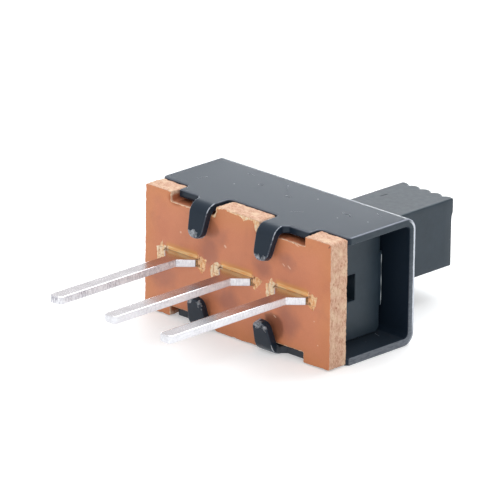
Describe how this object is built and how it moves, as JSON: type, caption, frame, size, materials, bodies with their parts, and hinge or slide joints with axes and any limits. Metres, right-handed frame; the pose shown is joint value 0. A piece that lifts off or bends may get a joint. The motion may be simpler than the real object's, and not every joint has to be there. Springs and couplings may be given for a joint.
{
  "type": "slide switch",
  "caption": "Small through-hole slide switch: folded metal frame clenched over a laminate base, flat terminals and a ridged sliding knob.",
  "frame": {"origin": "middle of the base's outer face, on the middle terminal's axis, where the switch meets its circuit board", "axes": "+X along the knob's travel, +Y from the pins to the knob, +Z across the frame; the switch lies on its lower flank"},
  "size_m": [0.0086, 0.0143, 0.0044],
  "materials": {
    "coated_steel": "satin black coating",
    "laminate": "satin paper laminate",
    "plated_brass": "bright silver plating",
    "black_plastic": "fine matte moulding",
    "spring_bronze": "satin spring strip"
  },
  "bodies": {
    "switch_body": {"frame": "coated_steel", "base": "laminate", "terminal_left": "plated_brass", "terminal_middle": "plated_brass", "terminal_right": "plated_brass"},
    "slider": {"slider": "black_plastic", "contact_clip": "spring_bronze"}
  },
  "joints": [
    {"name": "knob_slide", "type": "slide", "parent": "switch_body", "child": "slider", "axis": [1, 0, 0], "range_m": [-0.0015, 0]}
  ]
}
